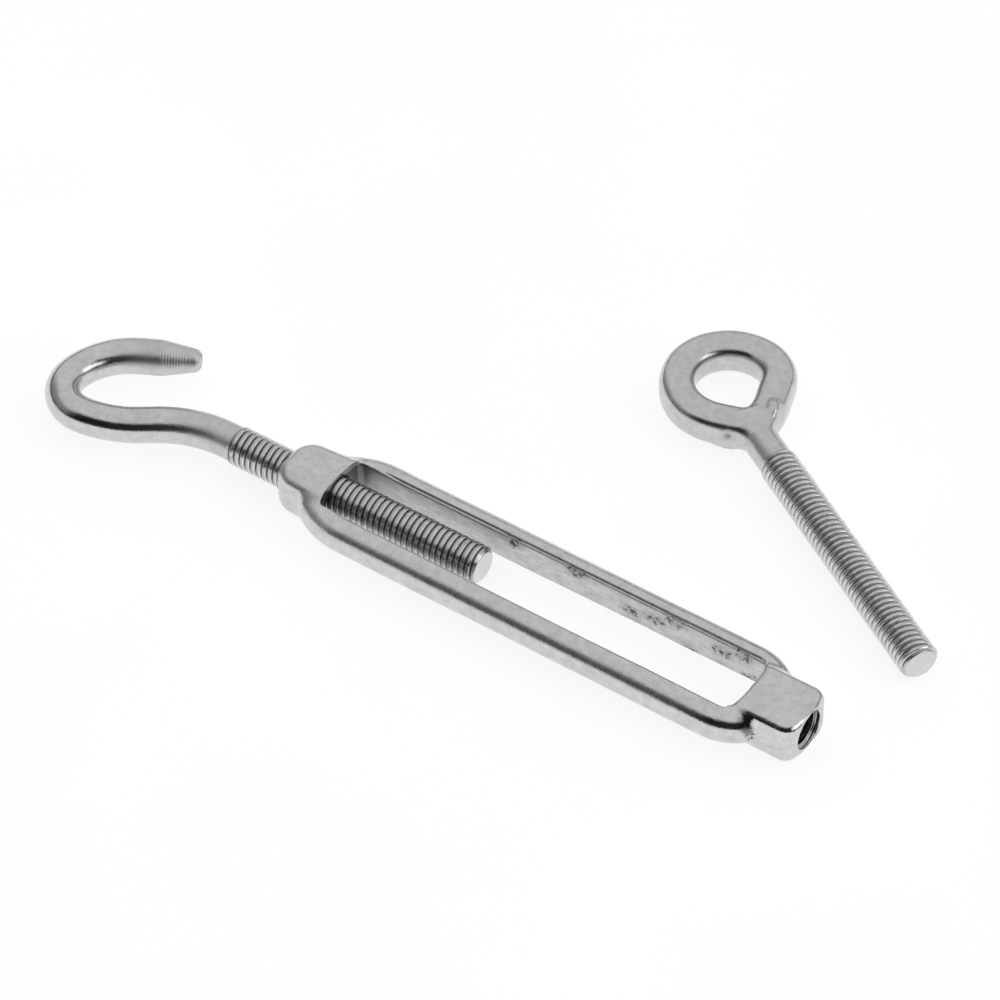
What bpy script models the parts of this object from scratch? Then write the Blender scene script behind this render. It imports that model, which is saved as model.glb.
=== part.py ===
"""Rigging turnbuckle with an open body, a hook bolt and an eye bolt, thread M6 x 1.

World X runs along the body from the hook end to the eye end, Z is up. The origin is on the underside of
the boss at the hook end, below the thread axis, so everything rests on the plane z = 0. The hook bolt is
screwed into the body and the eye bolt lies loose beside it. All lengths are in metres. Shapes are given
about the middle of the body on its thread axis, and BODY_CENTRE places that point.
"""

import math

import bmesh
import bpy
from mathutils import Matrix, Vector

MM = 0.001

# Thread
PITCH = 1.0 * MM
CREST_RADIUS = 2.97 * MM
ROOT_RADIUS = 2.38 * MM
THREAD_STEPS = 14
THREAD_START_ANGLE = math.radians(11)
TIP_CHAMFER = 0.7 * MM
RUN_OUT_LENGTH = 1.0 * MM
BAR_IN_THREAD = 1.37 * MM

# Open body
BODY_CENTRE = Vector((39.8 * MM, 0.0, 3.8 * MM))
BODY_WIDTH = 17.4 * MM
RAIL_HEIGHT = 5.6 * MM
RAIL_ROUNDING = 2.6 * MM
WINDOW_WIDTH = 10.2 * MM
WINDOW_START = -35.0 * MM
WINDOW_END = 35.5 * MM
WINDOW_CORNER = 1.3 * MM
HOOK_SHOULDER_START = -30.0 * MM
HOOK_SHOULDER_RADIUS = 14.0 * MM
EYE_SHOULDER_START = 33.5 * MM
EYE_SHOULDER_RADIUS = 11.0 * MM
SHOULDER_END_WIDTH = 8.4 * MM
BOSS_HEIGHT = 7.6 * MM
BOSS_ROUNDING = 1.1 * MM
BOSS_OVERLAP = 2.0 * MM
EYE_BOSS_END = 46.0 * MM
EYE_BOSS_WIDTH = 10.2 * MM
EYE_BOSS_CORNER = 1.3 * MM
EYE_BOSS_DOME = 14.0 * MM
HOOK_BOSS_END = -44.5 * MM
HOOK_BOSS_WIDTH = 10.8 * MM
HOOK_BOSS_NOSE_WIDTH = 9.6 * MM
HOOK_BOSS_CORNER = 3.4 * MM
BORE_RADIUS = 3.22 * MM
BORE_CUTTER_LENGTH = 110.0 * MM

# Hook bolt
HOOK_THREAD_START = -53.5 * MM
HOOK_THREAD_LENGTH = 43.8 * MM
BAR_RADIUS = 2.73 * MM
HOOK_SHANK = 1.9 * MM
# Length along the bar and turn in degrees of each bend after the shank
HOOK_BENDS = ((11.3, 35.7), (2.3, 0.0), (9.4, -30.4), (9.9, -101.3), (10.9, -56.5), (9.4, 0.0))
HOOK_TAPER_LENGTH = 6.0 * MM
HOOK_POINT_RADIUS = 1.6 * MM

# Eye bolt, lying beside the body on the same surface
EYE_TIP = Vector((51.64 * MM, 19.98 * MM, -0.8 * MM))
EYE_HEADING = math.radians(149.57)
EYE_THREAD_LENGTH = 43.8 * MM
EYE_SHANK_RADIUS = 2.67 * MM
EYE_SHANK_END = 53.6 * MM
EYE_RING_CENTRE = Vector((61.4 * MM, -0.95 * MM, 0.0))
EYE_RING_RADIUS = 7.85 * MM
EYE_RING_BAR_RADIUS = 2.74 * MM
# Centre, half sizes and turn in degrees of each weld bead between the shank and the ring
WELD_BEADS = (
    (Vector((52.8 * MM, 3.7 * MM, -0.4 * MM)), Vector((2.5 * MM, 1.9 * MM, 2.0 * MM)), 35.0),
    (Vector((53.3 * MM, -3.9 * MM, 0.5 * MM)), Vector((2.1 * MM, 1.6 * MM, 2.1 * MM)), -40.0),
)
# A point on the nearly upright axis about which the loose eye bolt swings into line with the body
EYE_PIVOT = Vector((47.603 * MM, 10.349 * MM, -0.4 * MM))


def clear_scene():
    for obj in list(bpy.data.objects):
        bpy.data.objects.remove(obj, do_unlink=True)


def make_collection(name):
    collection = bpy.data.collections.new(name)
    bpy.context.scene.collection.children.link(collection)
    return collection


def add_object(name, bm, collection):
    mesh = bpy.data.meshes.new(name)
    bmesh.ops.recalc_face_normals(bm, faces=bm.faces[:])
    bm.to_mesh(mesh)
    bm.free()
    obj = bpy.data.objects.new(name, mesh)
    collection.objects.link(obj)
    return obj


def as_helper(obj):
    obj.hide_render = True
    obj.display_type = "WIRE"
    return obj


def evaluated_mesh(obj):
    bpy.context.view_layer.update()
    graph = bpy.context.evaluated_depsgraph_get()
    bm = bmesh.new()
    bm.from_mesh(bpy.data.meshes.new_from_object(obj.evaluated_get(graph)))
    bmesh.ops.remove_doubles(bm, verts=bm.verts[:], dist=1e-6)
    bm.transform(obj.matrix_world)
    bpy.data.objects.remove(obj, do_unlink=True)
    return bm


def metal(name, colour, roughness):
    material = bpy.data.materials.new(name)
    material.use_nodes = True
    shader = material.node_tree.nodes["Principled BSDF"]
    shader.inputs["Base Color"].default_value = (*colour, 1.0)
    shader.inputs["Metallic"].default_value = 1.0
    shader.inputs["Roughness"].default_value = roughness
    return material


def add_boolean(obj, other, operation):
    modifier = obj.modifiers.new(f"{operation.lower()}_{other.name}", "BOOLEAN")
    modifier.operation = operation
    modifier.solver = "EXACT"
    modifier.object = other


def carry_helpers(obj):
    """Parents the helpers that shape an object to it, so that they keep their place when it is moved."""
    for modifier in obj.modifiers:
        if modifier.type == "BOOLEAN":
            modifier.object.parent = obj


def add_bevel(obj, width, segments):
    modifier = obj.modifiers.new("rounding", "BEVEL")
    modifier.width = width
    modifier.segments = segments
    modifier.limit_method = "ANGLE"
    modifier.angle_limit = math.radians(50)
    modifier.use_clamp_overlap = True


def arc(centre, radius, start, end, steps):
    """Points on an arc about centre in the XY plane, angles in degrees."""
    angles = [math.radians(start + (end - start) * i / steps) for i in range(steps + 1)]
    return [Vector((centre[0] + radius * math.cos(a), centre[1] + radius * math.sin(a))) for a in angles]


def mirrored_outline(half):
    """A closed outline from the points of its +Y half, given in order of rising X."""
    other = [Vector((p.x, -p.y)) for p in reversed(half)]
    return half + other


def prism(name, outline, height, collection):
    bm = bmesh.new()
    face = bm.faces.new([bm.verts.new((p.x, p.y, -height / 2)) for p in outline])
    grown = bmesh.ops.extrude_face_region(bm, geom=[face])
    top = [v for v in grown["geom"] if isinstance(v, bmesh.types.BMVert)]
    bmesh.ops.translate(bm, verts=top, vec=(0.0, 0.0, height))
    return add_object(name, bm, collection)


def shoulder(start, radius, direction, steps=9):
    """Points of the curve that carries a rail's outer side in to a boss, from the rail outwards."""
    drop = (BODY_WIDTH - SHOULDER_END_WIDTH) / 2
    sweep = math.acos(1.0 - drop / radius)
    points = []
    for i in range(steps + 1):
        angle = sweep * i / steps
        x = start + direction * radius * math.sin(angle)
        points.append(Vector((x, BODY_WIDTH / 2 - radius * (1.0 - math.cos(angle)))))
    return points


def rail_loop(collection):
    hook_side = shoulder(HOOK_SHOULDER_START, HOOK_SHOULDER_RADIUS, -1)
    eye_side = shoulder(EYE_SHOULDER_START, EYE_SHOULDER_RADIUS, 1)
    outline = mirrored_outline(hook_side[::-1] + eye_side)
    loop = prism("turnbuckle_body", outline, RAIL_HEIGHT, collection)
    add_bevel(loop, RAIL_ROUNDING, 5)
    return loop


def eye_boss(helpers):
    """A block with straight sides, round corners and a slightly domed end."""
    r = EYE_BOSS_CORNER
    dome_x = EYE_BOSS_END - EYE_BOSS_DOME
    corner_y = EYE_BOSS_WIDTH / 2 - r
    corner_x = dome_x + math.sqrt((EYE_BOSS_DOME - r) ** 2 - corner_y**2)
    meet = math.degrees(math.atan2(corner_y, corner_x - dome_x))
    half = [Vector((WINDOW_END - BOSS_OVERLAP, EYE_BOSS_WIDTH / 2))]
    half += arc((corner_x, corner_y), r, 90, meet, 4)
    half += arc((dome_x, 0.0), EYE_BOSS_DOME, meet, meet / 4, 3)[1:]
    boss = as_helper(prism("eye_boss_block", mirrored_outline(half), BOSS_HEIGHT, helpers))
    add_bevel(boss, BOSS_ROUNDING, 3)
    return boss


def hook_boss(helpers):
    """A block that narrows a little towards its well rounded nose."""
    x, y, r = HOOK_BOSS_END, HOOK_BOSS_NOSE_WIDTH / 2, HOOK_BOSS_CORNER
    half = arc((x + r, y - r), r, 180, 90, 5) + [Vector((WINDOW_START + BOSS_OVERLAP, HOOK_BOSS_WIDTH / 2))]
    boss = as_helper(prism("hook_boss_block", mirrored_outline(half), BOSS_HEIGHT, helpers))
    add_bevel(boss, BOSS_ROUNDING, 3)
    return boss


def window_cutter(helpers):
    y, r = WINDOW_WIDTH / 2, WINDOW_CORNER
    half = arc((WINDOW_START + r, y - r), r, 180, 90, 4) + arc((WINDOW_END - r, y - r), r, 90, 0, 4)
    return as_helper(prism("window_cutter", mirrored_outline(half), 2 * BOSS_HEIGHT, helpers))


def bore_cutter(helpers):
    bm = bmesh.new()
    size = {"segments": 40, "radius1": BORE_RADIUS, "radius2": BORE_RADIUS, "depth": BORE_CUTTER_LENGTH}
    bmesh.ops.create_cone(bm, cap_ends=True, **size)
    bm.transform(Matrix.Rotation(math.pi / 2, 4, "Y"))
    return as_helper(add_object("bore_cutter", bm, helpers))


def turnbuckle_body(parts, helpers):
    body = rail_loop(parts)
    add_boolean(body, hook_boss(helpers), "UNION")
    add_boolean(body, eye_boss(helpers), "UNION")
    add_boolean(body, window_cutter(helpers), "DIFFERENCE")
    add_boolean(body, bore_cutter(helpers), "DIFFERENCE")
    carry_helpers(body)
    body.location = BODY_CENTRE
    return body


def close_helix_end(bm, edges, height):
    """A fan of faces from the helix's open end to a point on its axis."""
    centre = bm.verts.new((0.0, 0.0, height))
    for edge in edges:
        bm.faces.new((edge.verts[0], edge.verts[1], centre))


def helical_bar(name, turns, left_hand, collection):
    """A closed bar with a V thread, longer than needed by 1.5 turns at each end, along +X from -1.5 pitches."""
    bm = bmesh.new()
    profile = [
        bm.verts.new((ROOT_RADIUS, 0.0, 0.0)),
        bm.verts.new((CREST_RADIUS, 0.0, PITCH / 2)),
        bm.verts.new((ROOT_RADIUS, 0.0, PITCH)),
    ]
    bm.edges.new(profile[:2])
    bm.edges.new(profile[1:])
    mesh = bpy.data.meshes.new(name)
    bm.to_mesh(mesh)
    bm.free()
    sweep = bpy.data.objects.new(name + "_sweep", mesh)
    collection.objects.link(sweep)
    screw = sweep.modifiers.new("thread", "SCREW")
    screw.axis = "Z"
    screw.angle = -2 * math.pi if left_hand else 2 * math.pi
    screw.screw_offset = PITCH
    screw.iterations = turns + 3
    screw.steps = THREAD_STEPS
    screw.render_steps = THREAD_STEPS
    bm = evaluated_mesh(sweep)
    top = (turns + 3) * PITCH
    open_edges = [e for e in bm.edges if e.is_boundary]
    low = [e for e in open_edges if (e.verts[0].co.z + e.verts[1].co.z) / 2 < top / 2]
    high = [e for e in open_edges if e not in low]
    close_helix_end(bm, low, 0.0)
    close_helix_end(bm, high, top)
    lay_down = Matrix.Rotation(math.pi / 2, 4, "Y") @ Matrix.Rotation(THREAD_START_ANGLE, 4, "Z")
    bm.transform(lay_down @ Matrix.Translation((0.0, 0.0, -1.5 * PITCH)))
    return add_object(name, bm, collection)


def turned_blank(name, profile, helpers):
    """A solid of revolution about X from (x, radius) points in order of falling x."""
    bm = bmesh.new()
    verts = [bm.verts.new((radius, 0.0, x)) for x, radius in profile]
    for first, second in zip(verts, verts[1:]):
        bm.edges.new((first, second))
    blank = add_object(name, bm, helpers)
    screw = blank.modifiers.new("turn", "SCREW")
    screw.axis = "Z"
    screw.steps = 28
    screw.render_steps = 28
    screw.use_merge_vertices = True
    screw.merge_threshold = 1e-5
    bm = evaluated_mesh(blank)
    bm.transform(Matrix.Rotation(math.pi / 2, 4, "Y"))
    return as_helper(add_object(name, bm, helpers))


def threaded_bar(name, length, left_hand, parts, helpers):
    """A threaded bar along +X from a run-out at 0 to its chamfered tip at x = length."""
    bar = helical_bar(name, round(length / PITCH), left_hand, parts)
    wide = CREST_RADIUS + TIP_CHAMFER
    profile = (
        (length, 0.0),
        (length, CREST_RADIUS - TIP_CHAMFER),
        (length - 2 * TIP_CHAMFER, wide),
        (RUN_OUT_LENGTH, wide),
        (-RUN_OUT_LENGTH, ROOT_RADIUS - 0.3 * MM),
        (-RUN_OUT_LENGTH, 0.0),
    )
    add_boolean(bar, turned_blank(name + "_blank", profile, helpers), "INTERSECT")
    return bar


def swept_bar(name, path, radius, scales, cyclic, helpers):
    """A round bar along a path of points, its radius times the scale given for each point."""
    curve = bpy.data.curves.new(name, "CURVE")
    curve.dimensions = "3D"
    curve.bevel_depth = radius
    curve.bevel_resolution = 4
    curve.use_fill_caps = not cyclic
    spline = curve.splines.new("POLY")
    spline.points.add(len(path) - 1)
    for point, place, scale in zip(spline.points, path, scales):
        point.co = (*place, 1.0)
        point.radius = scale
    spline.use_cyclic_u = cyclic
    obj = bpy.data.objects.new(name, curve)
    helpers.objects.link(obj)
    return as_helper(add_object(name, evaluated_mesh(obj), helpers))


def hook_path():
    """The bar's centre line from inside the thread back along -X and round the hook to its point."""
    place, heading = Vector((BAR_IN_THREAD, 0.0, 0.0)), math.pi
    path = [place.copy()]
    place = Vector((-HOOK_SHANK, 0.0, 0.0))
    path.append(place.copy())
    for length_mm, turn in HOOK_BENDS:
        steps = max(3, round(abs(turn) / 9.0))
        length = length_mm * MM / steps
        for _ in range(steps):
            heading += math.radians(turn) / steps / 2
            place = place + length * Vector((math.cos(heading), math.sin(heading), 0.0))
            heading += math.radians(turn) / steps / 2
            path.append(place.copy())
    return path


def hook_scales(path):
    """Full size along the bar, narrowing evenly to the blunt point."""
    remaining = [0.0]
    for first, second in zip(path[::-1], path[-2::-1]):
        remaining.append(remaining[-1] + (second - first).length)
    narrow = HOOK_POINT_RADIUS / BAR_RADIUS
    scales = [narrow + (1.0 - narrow) * min(1.0, left / HOOK_TAPER_LENGTH) for left in remaining]
    return scales[::-1]


def hook_bolt(parts, helpers):
    bolt = threaded_bar("hook_bolt", HOOK_THREAD_LENGTH, False, parts, helpers)
    path = hook_path()
    add_boolean(bolt, swept_bar("hook_bar", path, BAR_RADIUS, hook_scales(path), False, helpers), "UNION")
    carry_helpers(bolt)
    bolt.location = BODY_CENTRE + Vector((HOOK_THREAD_START, 0.0, 0.0))
    return bolt


def weld_bead(name, centre, size, turn, helpers):
    bm = bmesh.new()
    bmesh.ops.create_uvsphere(bm, u_segments=14, v_segments=8, radius=1.0)
    stretch = Matrix.Diagonal((*size, 1.0))
    bm.transform(Matrix.Translation(centre) @ Matrix.Rotation(math.radians(turn), 4, "Z") @ stretch)
    return as_helper(add_object(name, bm, helpers))


def eye_bolt(parts, helpers):
    """The bolt is modelled with its thread tip at the origin and its eye towards +X."""
    bolt = threaded_bar("eye_bolt", EYE_THREAD_LENGTH, True, parts, helpers)
    flip = Matrix.Translation((EYE_THREAD_LENGTH, 0.0, 0.0)) @ Matrix.Rotation(math.pi, 4, "Z")
    bolt.data.transform(flip)
    bolt.modifiers[0].object.data.transform(flip)
    shank = [Vector((EYE_THREAD_LENGTH - BAR_IN_THREAD, 0.0, 0.0)), Vector((EYE_SHANK_END, 0.0, 0.0))]
    add_boolean(bolt, swept_bar("eye_shank", shank, EYE_SHANK_RADIUS, (1.0, 1.0), False, helpers), "UNION")
    angles = [2 * math.pi * i / 30 for i in range(30)]
    ring = [EYE_RING_CENTRE + EYE_RING_RADIUS * Vector((math.cos(a), math.sin(a), 0.0)) for a in angles]
    add_boolean(bolt, swept_bar("eye_ring", ring, EYE_RING_BAR_RADIUS, [1.0] * 30, True, helpers), "UNION")
    for index, (centre, size, turn) in enumerate(WELD_BEADS):
        add_boolean(bolt, weld_bead(f"weld_bead_{index}", centre, size, turn, helpers), "UNION")
    carry_helpers(bolt)
    pivot = bpy.data.objects.new("eye_bolt_pivot", None)
    parts.objects.link(pivot)
    pivot.location = BODY_CENTRE + EYE_PIVOT
    bolt.parent = pivot
    bolt.location = EYE_TIP - EYE_PIVOT
    bolt.rotation_euler = (0.0, 0.0, EYE_HEADING)
    return bolt


def finish(obj, material):
    """One material, with smooth shading on the round surfaces and crisp edges between the others."""
    obj.data.materials.clear()
    obj.data.materials.append(material)
    obj.data.shade_smooth()
    obj.data.set_sharp_from_angle(angle=math.radians(35))


def main():
    clear_scene()
    parts = make_collection("rigging_turnbuckle")
    helpers = make_collection("turnbuckle_helpers")
    helpers.hide_render = True
    body = turnbuckle_body(parts, helpers)
    hook = hook_bolt(parts, helpers)
    eye = eye_bolt(parts, helpers)
    finish(body, metal("cast_body_metal", (0.56, 0.56, 0.57), 0.34))
    finish(hook, metal("hook_bolt_metal", (0.60, 0.60, 0.61), 0.26))
    finish(eye, metal("eye_bolt_metal", (0.61, 0.61, 0.62), 0.24))


main()
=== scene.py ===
"""Looks of the rigging turnbuckle: a cast open body, a hook bolt and an eye bolt with M6 threads.

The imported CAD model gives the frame: where the body and the bolts are, and how they move. Each of them is
replaced here by finer meshes on the same axes. Shapes are worked out in millimetres in the frame of their
own part, and only place() turns them into metres. The body and the eye are surfaces of distance fields, so
that their edges and fillets are round. The bars and the threads in the bosses are grids whose rows climb
with the thread.
"""

import itertools
import math

import bmesh
import bpy
import numpy as np
from mathutils import Matrix, Vector


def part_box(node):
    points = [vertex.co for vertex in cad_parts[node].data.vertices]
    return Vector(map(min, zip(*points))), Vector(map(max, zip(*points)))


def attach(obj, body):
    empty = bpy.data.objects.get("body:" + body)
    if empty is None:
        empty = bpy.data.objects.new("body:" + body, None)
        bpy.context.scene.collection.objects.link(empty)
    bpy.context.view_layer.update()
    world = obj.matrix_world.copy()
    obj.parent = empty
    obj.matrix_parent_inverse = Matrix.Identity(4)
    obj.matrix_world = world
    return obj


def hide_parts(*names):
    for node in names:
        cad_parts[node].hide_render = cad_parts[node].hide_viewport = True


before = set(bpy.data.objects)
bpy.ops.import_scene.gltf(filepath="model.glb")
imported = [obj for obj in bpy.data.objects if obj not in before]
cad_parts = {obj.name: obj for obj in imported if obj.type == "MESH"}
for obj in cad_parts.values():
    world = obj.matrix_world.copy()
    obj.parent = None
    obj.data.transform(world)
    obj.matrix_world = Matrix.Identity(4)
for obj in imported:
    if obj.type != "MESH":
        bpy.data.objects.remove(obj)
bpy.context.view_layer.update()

MM = 0.001

# Thread, M6 x 1. The rows of one turn run from a crest down one flank, along the root and up the other.
# The hook bolt has flat crests and narrow grooves, and the eye bolt rounder ones
PITCH = 1.0
CREST_RADIUS = 2.98
ROOT_RADIUS = 2.44
FLAT_PROFILE = (1.0,) * 5 + (0.9, 0.5, 0.1, 0.0, 0.1, 0.5, 0.9) + (1.0,) * 4
ROUND_PROFILE = (1.0, 1.0, 1.0, 0.98, 0.92, 0.78, 0.48, 0.14, 0.0, 0.14, 0.48, 0.78, 0.92, 0.98, 1.0, 1.0)
# How much lighter the metal is along the same rows, on the flank that rises to the crest: a painted highlight
# there, with some wear on the crest
PROFILE_WEAR_AND_HIGHLIGHT = (0.3,) + (0.0,) * 10 + (0.5, 1.0, 0.8, 0.3, 0.0)
ROWS = len(FLAT_PROFILE)
COLUMNS = 72
NUT_CLEARANCE = 0.13
TIP_CHAMFER = 0.6
RUN_OUT = 0.6
CUT_END_WEAR = 0.35
# Share of the radius by which the thread is uneven, the size of the bumps in millimetres, and the same for
# the bare bar
THREAD_ROUGHNESS = 0.007
THREAD_BUMP_SIZE = 0.8
BAR_ROUGHNESS = 0.01
BAR_BUMP_SIZE = 6.0
BAR_STEP = 0.24
THREAD_END_SOFTNESS = 0.5
# Length at the tip that counts as its flat end and not as thread
TIP_FACE = 0.1

# Open body, about its middle on the thread axis
BODY_CENTRE_X = 39.8
HALF_WIDTH = 8.7
RAIL_HALF_HEIGHT = 2.8
RAIL_ROUNDING = 2.6
WINDOW_HALF_WIDTH = 5.1
WINDOW_START = -35.0
WINDOW_END = 35.5
HOOK_WINDOW_CORNER = 0.8
EYE_WINDOW_CORNER = 1.7
WINDOW_ARCH = 0.4
WINDOW_RIM = 0.25
EYE_END_RIM = 1.0
# How far before and after the window's end its edge changes from one rounding to the other
RIM_CHANGE = (1.2, 0.1)
LEDGE_WIDTH = 0.45
LEDGE_DEPTH = 0.38
LEDGE_ROUNDING = 0.06
LEDGE_END_GAP = 0.6
# Distances after the window's start between which the ledge grows to its full depth
LEDGE_GROWS = (1.0, 8.0)
HOOK_SHOULDER_START = -30.0
HOOK_SHOULDER_RADIUS = 14.0
EYE_SHOULDER_START = 32.6
EYE_SHOULDER_RADIUS = 9.5
SHOULDER_ENDS = (-40.2, 42.3)
BOSS_HALF_HEIGHT = 3.8
HOOK_BOSS_ROUNDING = 1.9
EYE_BOSS_ROUNDING = 1.75
BOSS_FILLET = 0.7
EYE_BOSS_END = 46.0
EYE_BOSS_HALF_WIDTH = 5.1
EYE_BOSS_CORNER = 1.6
EYE_BOSS_DOME = 14.0
HOOK_BOSS_END = -44.5
HOOK_BOSS_HALF_WIDTH = 5.4
HOOK_BOSS_NOSE_HALF_WIDTH = 4.8
HOOK_BOSS_CORNER = 3.4
BOSS_INSET = 2.0
BORE_RADIUS = 3.12
BORE_ROUNDING = 0.12
MOUTH_CHAMFER = 0.65
BODY_MESH_STEP = 0.19
# Height and size in millimetres of the casting's broad and fine unevenness
CAST_WAVES = (0.03, 11.0)
CAST_RIPPLES = (0.006, 2.2)
# Where rough casting scale is left: inside the window, and where the front rail runs into the eye end's boss
SCALE_PATCHES = (
    (12.5, 5.1, -0.5),
    (16.5, 5.1, 0.2),
    (20.0, 5.1, 1.7),
    (27.9, 5.1, 0.4),
    (31.0, 5.1, 1.6),
    (-8.0, 5.1, 1.8),
    (3.0, 5.1, 1.9),
    (22.0, 5.1, -2.4),
    (33.0, 5.1, -2.2),
    (4.0, -5.1, -1.0),
    (38.7, -5.9, 0.3),
)
SCALE_SIZE = (2.6, 0.9, 1.5)
# Where a patch begins to fade and where it has gone, as shares of its size
SCALE_FADES = (0.2, 1.2)
# Crease where the front rail meets the eye end's boss, darkened with painted shade
JUNCTION = (38.2, -5.7, 1.4)
JUNCTION_SIZE = (1.6, 1.0, 1.6)
JUNCTION_FADES = (0.4, 1.2)
# How far past the window's ends and how deep in its walls a corner still counts as inside it
INNER_REACH = 1.0
INNER_DEPTH = 0.2
# Painted shade in the ledge's corner fades between these distances from it, and painted shade at the window's
# hook end decays
CREASE_FADES = (0.05, 0.24)
END_SHADE_LENGTH = 3.5
# The body is duller at its hook end and brighter at its eye end
POLISHED_FROM = 25.0
POLISHED_TO = 38.0
SLEEVE_RADIUS = 3.3
SLEEVE_INSET = 0.45
SLEEVE_CHAMFER = 0.6
SLEEVE_SHADE_GROWS = 0.5

# Hook bolt: length along the bar in millimetres and turn in degrees of each bend after the thread
THREAD_LENGTH = 43.8
BAR_RADIUS = 2.73
SHANK_LENGTH = 1.9
HOOK_BENDS = ((11.3, 35.7), (2.3, 0.0), (9.4, -30.4), (9.9, -101.3), (10.9, -56.5), (9.4, 0.0))
HOOK_TAPER = 6.0
HOOK_POINT_RADIUS = 1.65
HOOK_POINT_ROUNDING = 1.0
# Distances along the hook bolt between which its skin turns bright after the thread and dull before the point
HOOK_BRIGHTENS = (45.0, 60.0)
HOOK_DULLS = (82.0, 92.0)
HOOK_THREAD_DULLNESS = 0.15
# Tool marks cross this much of the bar before its point, fade out over its start, and stop short of the point
HOOK_MARKED = 6.5
MARKS_FADE = 0.8
MARKS_END = (1.2, 2.0)
MARK_SPACING = 0.42
BEND_BLENDING = 2.4

# Eye bolt, with the tip of its thread at the origin and the eye towards +X
EYE_TIP = Vector((51.64, 19.98, -0.8))
EYE_HEADING = math.radians(149.57)
EYE_SHANK_RADIUS = 2.67
EYE_SHANK_END = 52.4
RING_CENTRE = (61.3, -0.95)
RING_RADIUS = 7.88
RING_BAR_RADIUS = 2.72
RING_SECTION_POWER = 3.0
RING_FLAT = (0.95, 228.0, 28.0)
RING_NECK = (1.0, 174.0, 20.0)
NECK_FILLET = 1.3
BEAD_FILLET = 0.7
# The end of the shank that is one surface with the ring, thinned a little so that the fillet stays flush
STUB_START = 48.5
STUB_END = 53.0
STUB_THINS_FROM = 49.5
STUB_INSET = 0.06
STUB_THINNING = 0.3
EYE_MESH_STEP = 0.2
EYE_WAVES = (0.02, 3.5)
WELD_WAVES = (0.04, 1.1)
# Distances from a bead's centre between which its lumps fade, and its skin
WELD_LUMPS_FADE = (1.5, 4.0)
WELD_SKIN_FADES = (2.0, 4.2)
EYE_DULLNESS = 0.35
EYE_THREAD_DULLNESS = 0.22
SHANK_DULLNESS = 0.6
# Centre, half sizes and turn in degrees of each weld bead between the shank and the ring
WELD_BEADS = (
    ((52.9, 4.0, -0.8), (2.25, 1.5, 1.6), 35.0),
    ((52.6, -3.6, 2.15), (1.2, 0.9, 1.1), -40.0),
    ((53.3, -3.9, 0.5), (2.1, 1.6, 2.1), -40.0),
)

# Room left round a shape in the grid that its surface is found in, for the body and for the eye
BODY_GRID_MARGIN = 0.5
EYE_GRID_MARGIN = 1.0
# Share of the way that each corner moves towards the mean of its neighbours in one round of evening out
EVENING = 0.6

# Camera, aimed at a point near the middle of both pieces
CAMERA_TARGET = Vector((24.47, 12.48, 3.8)) * MM
CAMERA_SIDE = Vector((0.3939, -0.5755, 0.7166)).normalized()
CAMERA_DISTANCE = 731.1 * MM
CAMERA_LENS = 180.7

FLOOR_HALF_SIZE = 4.0
ROOM_LIGHT = 0.77
DARK_SIDE = (0.565, -0.825, 0.0)
DIM_SIDE = (-0.766, -0.643, 0.0)
RIGHT_PANEL_SIDE = (0.991, 0.131, 0.0)


# Meshes


def add_object(name, points, faces, attributes=None):
    """A smooth object from corners in metres and faces, with a value per corner for each attribute."""
    mesh = bpy.data.meshes.new(name)
    mesh.from_pydata(points.tolist(), [], [list(f) for f in faces])
    for key, values in (attributes or {}).items():
        layer = mesh.attributes.new(key, "FLOAT", "POINT")
        layer.data.foreach_set("value", np.asarray(values, np.float32))
    bm = bmesh.new()
    bm.from_mesh(mesh)
    bmesh.ops.remove_doubles(bm, verts=bm.verts[:], dist=2e-6)
    bmesh.ops.dissolve_degenerate(bm, edges=bm.edges[:], dist=1e-7)
    bmesh.ops.recalc_face_normals(bm, faces=bm.faces[:])
    bm.to_mesh(mesh)
    bm.free()
    mesh.shade_smooth()
    obj = bpy.data.objects.new(name, mesh)
    bpy.context.scene.collection.objects.link(obj)
    return obj


def place(points, origin, heading=0.0):
    """Points in millimetres in a part's own frame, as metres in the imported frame."""
    turn = np.array(Matrix.Rotation(heading, 3, "Z"))
    return (np.asarray(points) @ turn.T + np.array(origin)) * MM


def waviness(points, size, seed, waves=28):
    """A smooth uneven value from about -1 to 1 at each point, with bumps of about size millimetres."""
    random = np.random.default_rng(seed)
    directions = random.normal(size=(waves, 3))
    directions /= np.linalg.norm(directions, axis=1)[:, None]
    directions *= random.uniform(0.6, 1.6, (waves, 1)) * math.pi / size
    shifts = random.uniform(0.0, 2 * math.pi, waves)
    return np.sin(points @ directions.T + shifts).sum(1) / math.sqrt(waves / 2) / 1.6


# Distance fields


def round_max(a, b, radius):
    """The part common to two shapes, with its edge rounded."""
    u, v = a + radius, b + radius
    return np.minimum(np.maximum(u, v), 0.0) + np.hypot(np.maximum(u, 0.0), np.maximum(v, 0.0)) - radius


def round_min(a, b, radius):
    """Two shapes joined with a fillet."""
    return -round_max(-a, -b, radius)


def slopes(field, points, reach=0.02):
    """The field's slope along each axis at each point."""
    steps = np.eye(3) * reach
    return np.stack([(field(points + s) - field(points - s)) / (2 * reach) for s in steps], -1)


def onto_surface(field, points, step):
    slope = slopes(field, points)
    length = np.maximum((slope**2).sum(1), 0.05)
    move = -(field(points) / length)[:, None] * slope
    size = np.linalg.norm(move, axis=1)
    return points + move * np.minimum(1.0, step / np.maximum(size, 1e-9))[:, None]


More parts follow.
